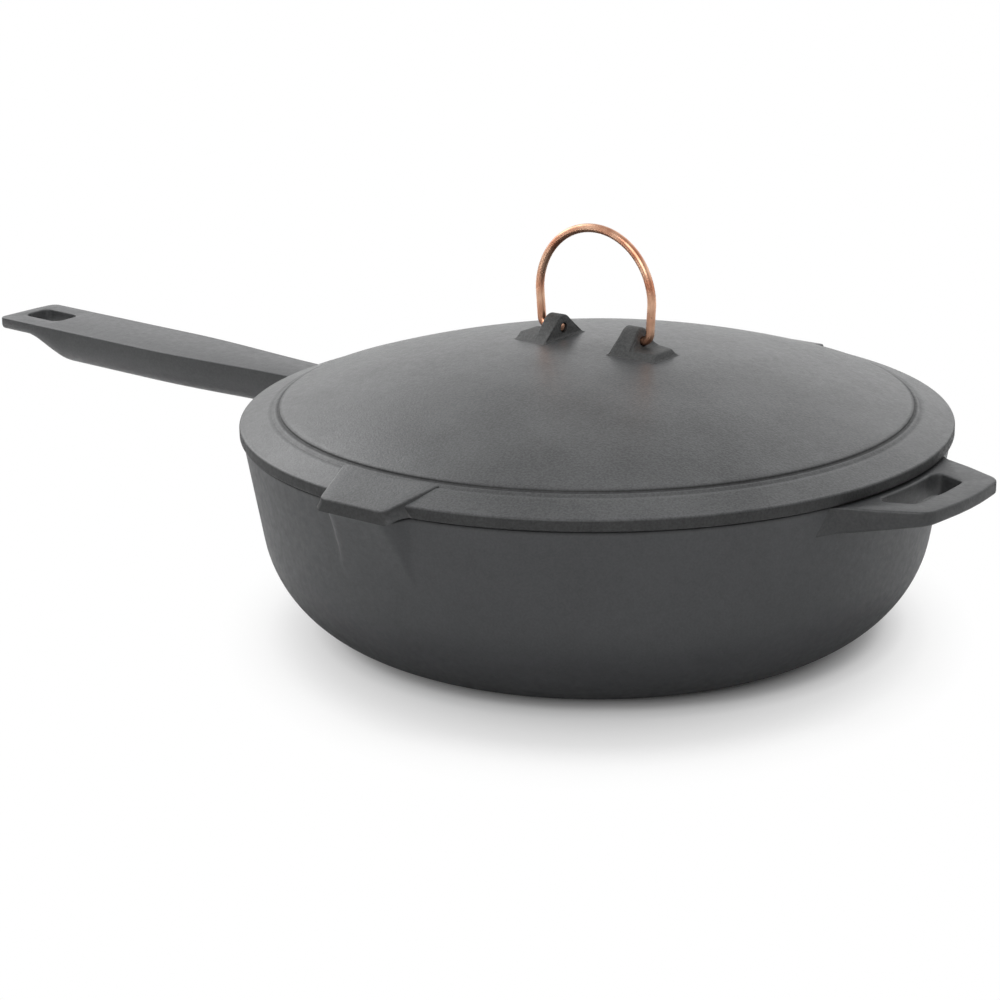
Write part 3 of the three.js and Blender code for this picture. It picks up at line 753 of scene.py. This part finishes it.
def draw_bend(x, z, angle, steps):
    """Draws the wire's end on round a centre."""
    bpy.ops.mesh.spin(steps=steps, angle=-angle, center=(x * MM, 0, z * MM), axis=(0, 1, 0))


def make_bail():
    """A round wire drawn along its line: pin, bend, leg, arch, leg, bend and pin."""
    deselect()
    bpy.ops.mesh.primitive_circle_add(
        vertices=28,
        radius=WIRE_RADIUS * MM,
        fill_type="NGON",
        location=(-PIN_END * MM, 0, HINGE_HEIGHT * MM),
        rotation=(0, math.pi / 2, 0),
    )
    bail = bpy.context.object
    bail.name = "bail_wire"
    bpy.ops.object.transform_apply(location=True, rotation=True, scale=True)
    bpy.ops.object.mode_set(mode="EDIT")
    bpy.ops.mesh.select_mode(type="FACE")
    bpy.ops.mesh.select_all(action="SELECT")
    lean = math.atan((BAIL_RADIUS - BAIL_FOOT) / (BAIL_LEG_HEIGHT - BAIL_BEND_RADIUS))
    foot_turn = math.pi / 2 - lean
    bend_start = BAIL_FOOT - BAIL_BEND_RADIUS
    bend_centre = HINGE_HEIGHT + BAIL_BEND_RADIUS
    foot_x = bend_start + BAIL_BEND_RADIUS * math.cos(lean)
    foot_z = bend_centre - BAIL_BEND_RADIUS * math.sin(lean)
    top_z = HINGE_HEIGHT + BAIL_LEG_HEIGHT
    draw_straight(PIN_END - bend_start, 0, 3)
    draw_bend(-bend_start, bend_centre, foot_turn, 9)
    draw_straight(foot_x - BAIL_RADIUS, top_z - foot_z, 6)
    draw_bend(0, top_z, math.pi, 48)
    draw_straight(foot_x - BAIL_RADIUS, foot_z - top_z, 6)
    draw_bend(bend_start, bend_centre, foot_turn, 9)
    draw_straight(PIN_END - bend_start, 0, 3)
    face_outwards()
    soften(bail, 0.6, 60)
    finish_shape(bail)
    return bail


# Materials
def linear(hex_colour):
    """An sRGB colour written as hex, turned to linear light."""
    channels = [int(hex_colour[i:i + 2], 16) / 255 for i in (1, 3, 5)]
    return [*(c / 12.92 if c <= 0.04045 else ((c + 0.055) / 1.055) ** 2.4 for c in channels), 1]


WHITE = linear("#ffffff")

# Where a Mix node has its factor and its two colours, and where it gives their mixture
MIX_SHARE = 0
MIX_FIRST = 6
MIX_SECOND = 7
MIXED = 2


def set_inputs(tree, node, inputs):
    """Sets a node's inputs, by name or in turn, each to a value or to another node's output."""
    for name, value in inputs.items() if isinstance(inputs, dict) else enumerate(inputs):
        if isinstance(value, bpy.types.NodeSocket):
            tree.links.new(value, node.inputs[name])
        else:
            node.inputs[name].default_value = value


def add_node(tree, kind, inputs=(), **settings):
    """Adds a node with its settings and inputs."""
    node = tree.nodes.new(kind)
    for name, value in settings.items():
        setattr(node, name, value)
    set_inputs(tree, node, inputs)
    return node


def new_material(name):
    material = bpy.data.materials.new(name)
    material.use_nodes = True
    return material, material.node_tree, material.node_tree.nodes["Principled BSDF"]


def grey_bands(tree, distance, bands):
    """Grey levels that follow a distance in metres, each set at a distance in mm."""
    reach = 250 * MM
    share = add_node(tree, "ShaderNodeMapRange", [distance, 0, reach, 0, 1]).outputs["Result"]
    level = add_node(tree, "ShaderNodeValToRGB", [share])
    elements = level.color_ramp.elements
    elements.remove(elements[1])
    first_grey = bands[0][1]
    elements[0].color = (first_grey, first_grey, first_grey, 1)
    for place, grey in bands:
        elements.new(place * MM / reach).color = (grey, grey, grey, 1)
    return level.outputs["Color"]


# The part of a place that painted shade is measured by: how far out it lies, or how high
OUTWARDS = (1, 1, 0)
UPWARDS = (0, 0, 1)

# Sizes of the patches of cloud and of sheen, and the roughness where shade is painted
CLOUD_SIZE = 28
SHEEN_SIZE = 3
PAINTED_SHADE_ROUGHNESS = 0.8


def cast_enamel(name, colours, grain, flat, upright, upright_painted_shade=1, painted_shade_bands=None, along=OUTWARDS):
    """Satin black enamel over sand-cast iron: speckled grain, faint clouding and an uneven sheen.

    The colours are the grain's dark and light ones, and grain is its size and depth in mm. Flat
    and upright are the roughness of faces that lie flat and stand upright. The next argument gives
    the share by which upright faces are painted darker as shade, or above 1 lighter as light, and
    the one after lists grey levels of painted shade at distances.
    """
    dark, light = colours
    grain_size, grain_depth = grain
    material, tree, shader = new_material(name)
    place = add_node(tree, "ShaderNodeTexCoord").outputs["Object"]
    clouds = add_node(tree, "ShaderNodeTexNoise", {
        "Vector": place,
        "Scale": 1 / (CLOUD_SIZE * MM),
        "Detail": 3,
    }).outputs["Fac"]
    specks = add_node(tree, "ShaderNodeTexNoise", {
        "Vector": place,
        "Scale": 1 / (grain_size * MM),
        "Detail": 2,
        "Roughness": 0.6,
    }).outputs["Fac"]
    pits = add_node(tree, "ShaderNodeTexNoise", {
        "Vector": place,
        "Scale": 1 / (grain_size * 5 * MM),
        "Detail": 2,
    }).outputs["Fac"]
    sheen = add_node(tree, "ShaderNodeTexNoise", {
        "Vector": place,
        "Scale": 1 / (SHEEN_SIZE * MM),
        "Detail": 3,
    }).outputs["Fac"]

    # Each Map Range takes a value, the limits it comes in and the limits it leaves in
    speckled = add_node(tree, "ShaderNodeMapRange", [specks, 0.35, 0.65, 0, 1])
    clouded = add_node(tree, "ShaderNodeMapRange", [clouds, 0.35, 0.65, 0, 0.35])
    speck_share = 0.65
    shade = add_node(
        tree,
        "ShaderNodeMath",
        [speckled.outputs["Result"], speck_share, clouded.outputs["Result"]],
        operation="MULTIPLY_ADD",
        use_clamp=True,
    )
    mixed = add_node(tree, "ShaderNodeMix", {
        MIX_SHARE: shade.outputs[0],
        MIX_FIRST: linear(dark),
        MIX_SECOND: linear(light),
    }, data_type="RGBA")

    # Faces that lie flat are rubbed smoother than the upright ones, and the upright ones are
    # painted darker as shade, or lighter as light, than the flat ones
    facing = add_node(tree, "ShaderNodeNewGeometry").outputs["Normal"]
    upward = add_node(tree, "ShaderNodeSeparateXYZ", [facing]).outputs["Z"]
    rough = add_node(tree, "ShaderNodeMapRange", [upward, 0.3, 0.85, upright, flat])
    painted_shade_factor = add_node(tree, "ShaderNodeMapRange", [upward, 0.3, 0.85, upright_painted_shade, 1])
    if painted_shade_bands:
        # Painted shade lies along lines, at a distance from the axis or at a height, where faces
        # are also rougher
        kept = add_node(tree, "ShaderNodeVectorMath", [place, along], operation="MULTIPLY")
        distance = add_node(tree, "ShaderNodeVectorMath", [kept.outputs[0]], operation="LENGTH")
        painted_shade_grey = grey_bands(tree, distance.outputs["Value"], painted_shade_bands)
        rough_in_painted_shade = add_node(tree, "ShaderNodeMapRange", [painted_shade_grey, 0.3, 1, PAINTED_SHADE_ROUGHNESS, flat])
        painted_shade_factor = add_node(tree, "ShaderNodeMath", [painted_shade_factor.outputs[0], painted_shade_grey], operation="MULTIPLY")
        rough = add_node(
            tree, "ShaderNodeMath", [rough.outputs[0], rough_in_painted_shade.outputs[0]], operation="MAXIMUM"
        )
    colour = add_node(
        tree,
        "ShaderNodeVectorMath",
        {0: mixed.outputs[MIXED], "Scale": painted_shade_factor.outputs[0]},
        operation="SCALE",
    )
    uneven = add_node(tree, "ShaderNodeMapRange", [sheen, 0.3, 0.7, 0.9, 1.1])
    roughness = add_node(
        tree, "ShaderNodeMath", [rough.outputs[0], uneven.outputs[0]], operation="MULTIPLY"
    )
    pit_share = 0.3
    relief = add_node(
        tree, "ShaderNodeMath", [pits, pit_share, specks], operation="MULTIPLY_ADD"
    )
    bump = add_node(tree, "ShaderNodeBump", {
        "Strength": 1,
        "Distance": grain_depth * MM,
        "Height": relief.outputs[0],
    })
    set_inputs(tree, shader, {
        "Base Color": colour.outputs[0],
        "Roughness": roughness.outputs[0],
        "Normal": bump.outputs["Normal"],
    })
    return material


def drawn_copper():
    """Bare copper wire: pale pink metal clouded by brown tarnish in soft patches, with a gloss."""
    material, tree, shader = new_material("drawn_copper_wire")
    place = add_node(tree, "ShaderNodeTexCoord").outputs["Object"]
    tarnish_size = 11
    tarnish = add_node(tree, "ShaderNodeTexNoise", {
        "Vector": place,
        "Scale": 1 / (tarnish_size * MM),
        "Detail": 2,
    }).outputs["Fac"]
    streaks = add_node(tree, "ShaderNodeTexNoise", {
        "Vector": place,
        "Scale": 1 / (SHEEN_SIZE * MM),
        "Detail": 2,
    }).outputs["Fac"]
    share = add_node(tree, "ShaderNodeMapRange", [tarnish, 0.35, 0.65, 0, 1])
    mixed = add_node(tree, "ShaderNodeMix", {
        MIX_SHARE: share.outputs["Result"],
        MIX_FIRST: linear("#e9bc9e"),
        MIX_SECOND: linear("#c4866a"),
    }, data_type="RGBA")
    gloss = add_node(tree, "ShaderNodeMapRange", [streaks, 0.3, 0.7, 0.26, 0.34])
    set_inputs(tree, shader, {
        "Base Color": mixed.outputs[MIXED],
        "Metallic": 1,
        "Roughness": gloss.outputs["Result"],
    })
    return material


def white_paper():
    """Overexposed paper: the camera sees a lightened shadow near the pan, and white further off."""
    material, tree, shader = new_material("white_paper_floor")
    set_inputs(tree, shader, {
        "Base Color": linear("#fcfcfc"),
        "Roughness": 0.9,
        "Specular IOR Level": 0,
    })
    place = add_node(tree, "ShaderNodeTexCoord").outputs["Object"]

    # The contact shadow reaches a little further out on the picture's right
    aside = add_node(
        tree, "ShaderNodeVectorMath", [place, PICTURE_RIGHT], operation="DOT_PRODUCT"
    )
    one_side = add_node(tree, "ShaderNodeMath", [aside.outputs["Value"], 0], operation="MAXIMUM")
    near = add_node(tree, "ShaderNodeVectorMath", [place], operation="LENGTH")
    further_out = -0.08
    contact = add_node(
        tree,
        "ShaderNodeMath",
        [one_side.outputs[0], further_out, near.outputs["Value"]],
        operation="MULTIPLY_ADD",
    )
    close = grey_bands(tree, contact.outputs[0], [(97, 0), (106, 0.36), (112, 0.78), (120, 1)])

    # The wide shadow reaches further towards the front of the picture than to its sides
    stretched = add_node(tree, "ShaderNodeMapping", {
        "Vector": place,
        "Rotation": (0, 0, math.radians(36)),
        "Scale": (0.94, 1.13, 1),
    }, vector_type="TEXTURE")
    far = add_node(
        tree, "ShaderNodeVectorMath", [stretched.outputs["Vector"]], operation="LENGTH"
    )
    wide_bands = [(95, 0.41), (107, 0.45), (128, 0.63), (148, 0.88), (168, 1)]
    wide = grey_bands(tree, far.outputs["Value"], wide_bands)

    lift = add_node(tree, "ShaderNodeMath", [close, wide], operation="MULTIPLY")
    camera_ray = add_node(tree, "ShaderNodeLightPath").outputs["Is Camera Ray"]
    seen = add_node(tree, "ShaderNodeMath", [lift.outputs[0], camera_ray], operation="MULTIPLY")
    glow = add_node(tree, "ShaderNodeEmission", {"Color": WHITE, "Strength": 1})
    mix = add_node(
        tree, "ShaderNodeMixShader", [seen.outputs[0], shader.outputs[0], glow.outputs[0]]
    )
    set_inputs(tree, tree.nodes["Material Output"], {"Surface": mix.outputs[0]})
    return material


# Black enamel as cast on the lid: sand grain breaks up its pale sheen; its upright faces are
# painted darker as shade, and painted shade darkens the edges of the groove
lid_iron = cast_enamel(
    "satin_enamel_on_cast_iron_lid",
    ("#303132", "#505152"), (0.9, 0.11), flat=0.34, upright=0.66, upright_painted_shade=0.32,
    painted_shade_bands=[
        (129.6, 1), (130.3, 0.42), (131, 0.5), (131.5, 0.92),
        (132.1, 0.9), (132.8, 0.8), (133.5, 0.9), (134.3, 1),
    ],
)

# The same on the tabs, a little coarser and more even in tone; upright faces painted darker as
# shade
tab_iron = cast_enamel(
    "satin_enamel_on_cast_iron_tab",
    ("#353637", "#4d4e4f"), (1.1, 0.16), flat=0.36, upright=0.66, upright_painted_shade=0.38,
)

# The lugs were never rubbed smooth and stay dull, with deep grain; they are painted darker as
# shade, and their upright faces are painted lighter than their flat ones as light
lug_iron = cast_enamel(
    "dull_enamel_on_cast_iron_lug",
    ("#242525", "#424343"), (0.9, 0.22), flat=0.6, upright=0.6, upright_painted_shade=1.5,
)

# The same enamel on the pan's smoother drafted wall: shallow grain, and painted shade just below
# the rim, under the lid's edge
pan_iron = cast_enamel(
    "satin_enamel_on_cast_iron_pan",
    ("#343537", "#3d3e40"), (0.9, 0.03), flat=0.36, upright=0.55,
    painted_shade_bands=[(82, 1), (82.9, 0.5), (83.6, 0.3), (84.2, 0.3)], along=UPWARDS,
)

# The long handle, painted paler than the pan's wall as light, its upright sides painted darker
# as shade
handle_iron = cast_enamel(
    "enamel_on_cast_iron_handle_with_painted_light_and_shade",
    ("#38393b", "#474849"), (1, 0.09), flat=0.36, upright=0.48, upright_painted_shade=0.75,
)

# The helper handle, a little rougher and painted a shade darker than the long one as shade, its
# upright faces darker still as painted shade
helper_iron = cast_enamel(
    "satin_enamel_on_cast_iron_helper",
    ("#313233", "#3f4041"), (1, 0.1), flat=0.4, upright=0.56, upright_painted_shade=0.8,
)

# Pieces on their bodies
bowl = make_bowl()
handle = make_handle()
helper = make_helper()
for piece, material in ((bowl, pan_iron), (handle, handle_iron), (helper, helper_iron)):
    piece.data.materials.append(material)
    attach(piece, "pan")
    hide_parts("pan")

shell = make_lid_shell()
front_tab = make_tab()
back_tab = turned_copy(front_tab, "lid_tab_back")
lug = make_lug()
other_lug = turned_copy(lug, "lid_lug_helper_side")
for piece, material in (
    (shell, lid_iron),
    (front_tab, tab_iron),
    (back_tab, tab_iron),
    (lug, lug_iron),
    (other_lug, lug_iron),
):
    piece.data.materials.append(material)
    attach(piece, "lid")
    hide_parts("lid")

bail = make_bail()
bail.data.materials.append(drawn_copper())
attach(bail, "bail")
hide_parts("bail")

# Floor
deselect()
bpy.ops.mesh.primitive_plane_add(size=30)
floor = bpy.context.object
floor.name = "floor"
floor.data.materials.append(white_paper())


# Light
def light_room():
    """A room seen as white, whose walls fade in reflections into a dimmer ceiling."""
    world = bpy.data.worlds.new("studio")
    bpy.context.scene.world = world
    world.use_nodes = True
    tree = world.node_tree
    tree.nodes.clear()
    sky = add_node(tree, "ShaderNodeTexCoord").outputs["Generated"]
    height = add_node(tree, "ShaderNodeSeparateXYZ", [sky]).outputs["Z"]
    walls = add_node(tree, "ShaderNodeMapRange", [height, 0.25, 0.9, 1.12, 0.62])
    # The room behind the camera is dim
    toward = add_node(
        tree, "ShaderNodeVectorMath", [sky, TOWARDS_CAMERA], operation="DOT_PRODUCT"
    )
    dim = add_node(tree, "ShaderNodeMapRange", [toward.outputs["Value"], 0, 0.8, 1, 0.45])
    reflected = add_node(
        tree, "ShaderNodeMath", [walls.outputs[0], dim.outputs[0]], operation="MULTIPLY"
    )
    path = add_node(tree, "ShaderNodeLightPath")
    soft = add_node(tree, "ShaderNodeBackground", {"Color": WHITE, "Strength": 0.45})
    mirrored = add_node(
        tree, "ShaderNodeBackground", {"Color": WHITE, "Strength": reflected.outputs[0]}
    )
    white = add_node(tree, "ShaderNodeBackground", {"Color": WHITE, "Strength": 1})
    lighting = add_node(tree, "ShaderNodeMixShader", [
        path.outputs["Is Glossy Ray"],
        soft.outputs[0],
        mirrored.outputs[0],
    ])
    surface = add_node(tree, "ShaderNodeMixShader", [
        path.outputs["Is Camera Ray"],
        lighting.outputs[0],
        white.outputs[0],
    ])
    add_node(tree, "ShaderNodeOutputWorld", {"Surface": surface.outputs[0]})


def area_lamp(name, place, aim, size, power, gives):
    """A round lamp aimed at a point, which gives shade on the surfaces or sheen, not both."""
    lamp = bpy.data.lights.new(name, "AREA")
    lamp.shape = "DISK"
    lamp.size = size
    lamp.energy = power
    holder = bpy.data.objects.new(name, lamp)
    bpy.context.scene.collection.objects.link(holder)
    holder.location = place
    holder.rotation_euler = (Vector(aim) - Vector(place)).to_track_quat("-Z", "Y").to_euler()
    holder.visible_glossy = gives == "sheen"
    holder.visible_diffuse = gives == "shade"


light_room()
# Places, aims and widths in metres, power in watts
area_lamp("overhead", (0.2, -0.18, 1.5), (0.02, 0, 0), 0.9, 19, "shade")
area_lamp("left_softbox", (1.206, -0.13, 0.85), (0, 0, 0.08), 1, 5.9, "sheen")
area_lamp("right_softbox", (0.035, -1.169, 0.92), (0, 0, 0.08), 0.9, 0.8, "sheen")
area_lamp("wire_light", (-0.45, 1.12, 1.05), (0, 0, 0.14), 1.2, 13, "sheen")

# Camera, where the photographed view was taken from, in metres
CAMERA_PLACE = Vector((-0.6413, 0.8773, 0.3916))
CAMERA_AZIMUTH = math.radians(218.275)
CAMERA_ELEVATION = math.radians(17.419)
CAMERA_ROLL = math.radians(-0.803)
CAMERA_LENS = 98.1
SENSOR_WIDTH = 36

back = Vector((
    math.sin(CAMERA_AZIMUTH) * math.cos(CAMERA_ELEVATION),
    -math.cos(CAMERA_AZIMUTH) * math.cos(CAMERA_ELEVATION),
    math.sin(CAMERA_ELEVATION),
))
level = Vector((math.cos(CAMERA_AZIMUTH), math.sin(CAMERA_AZIMUTH), 0))
turn = Matrix((level, back.cross(level), back)).transposed()
camera_data = bpy.data.cameras.new("camera")
camera_data.lens = CAMERA_LENS
camera_data.sensor_width = SENSOR_WIDTH
camera = bpy.data.objects.new("camera", camera_data)
bpy.context.scene.collection.objects.link(camera)
camera.matrix_world = Matrix.Translation(CAMERA_PLACE) @ (
    Matrix.Rotation(CAMERA_ROLL, 3, back) @ turn
).to_4x4()
bpy.context.scene.camera = camera
bpy.context.scene.view_settings.view_transform = "Standard"
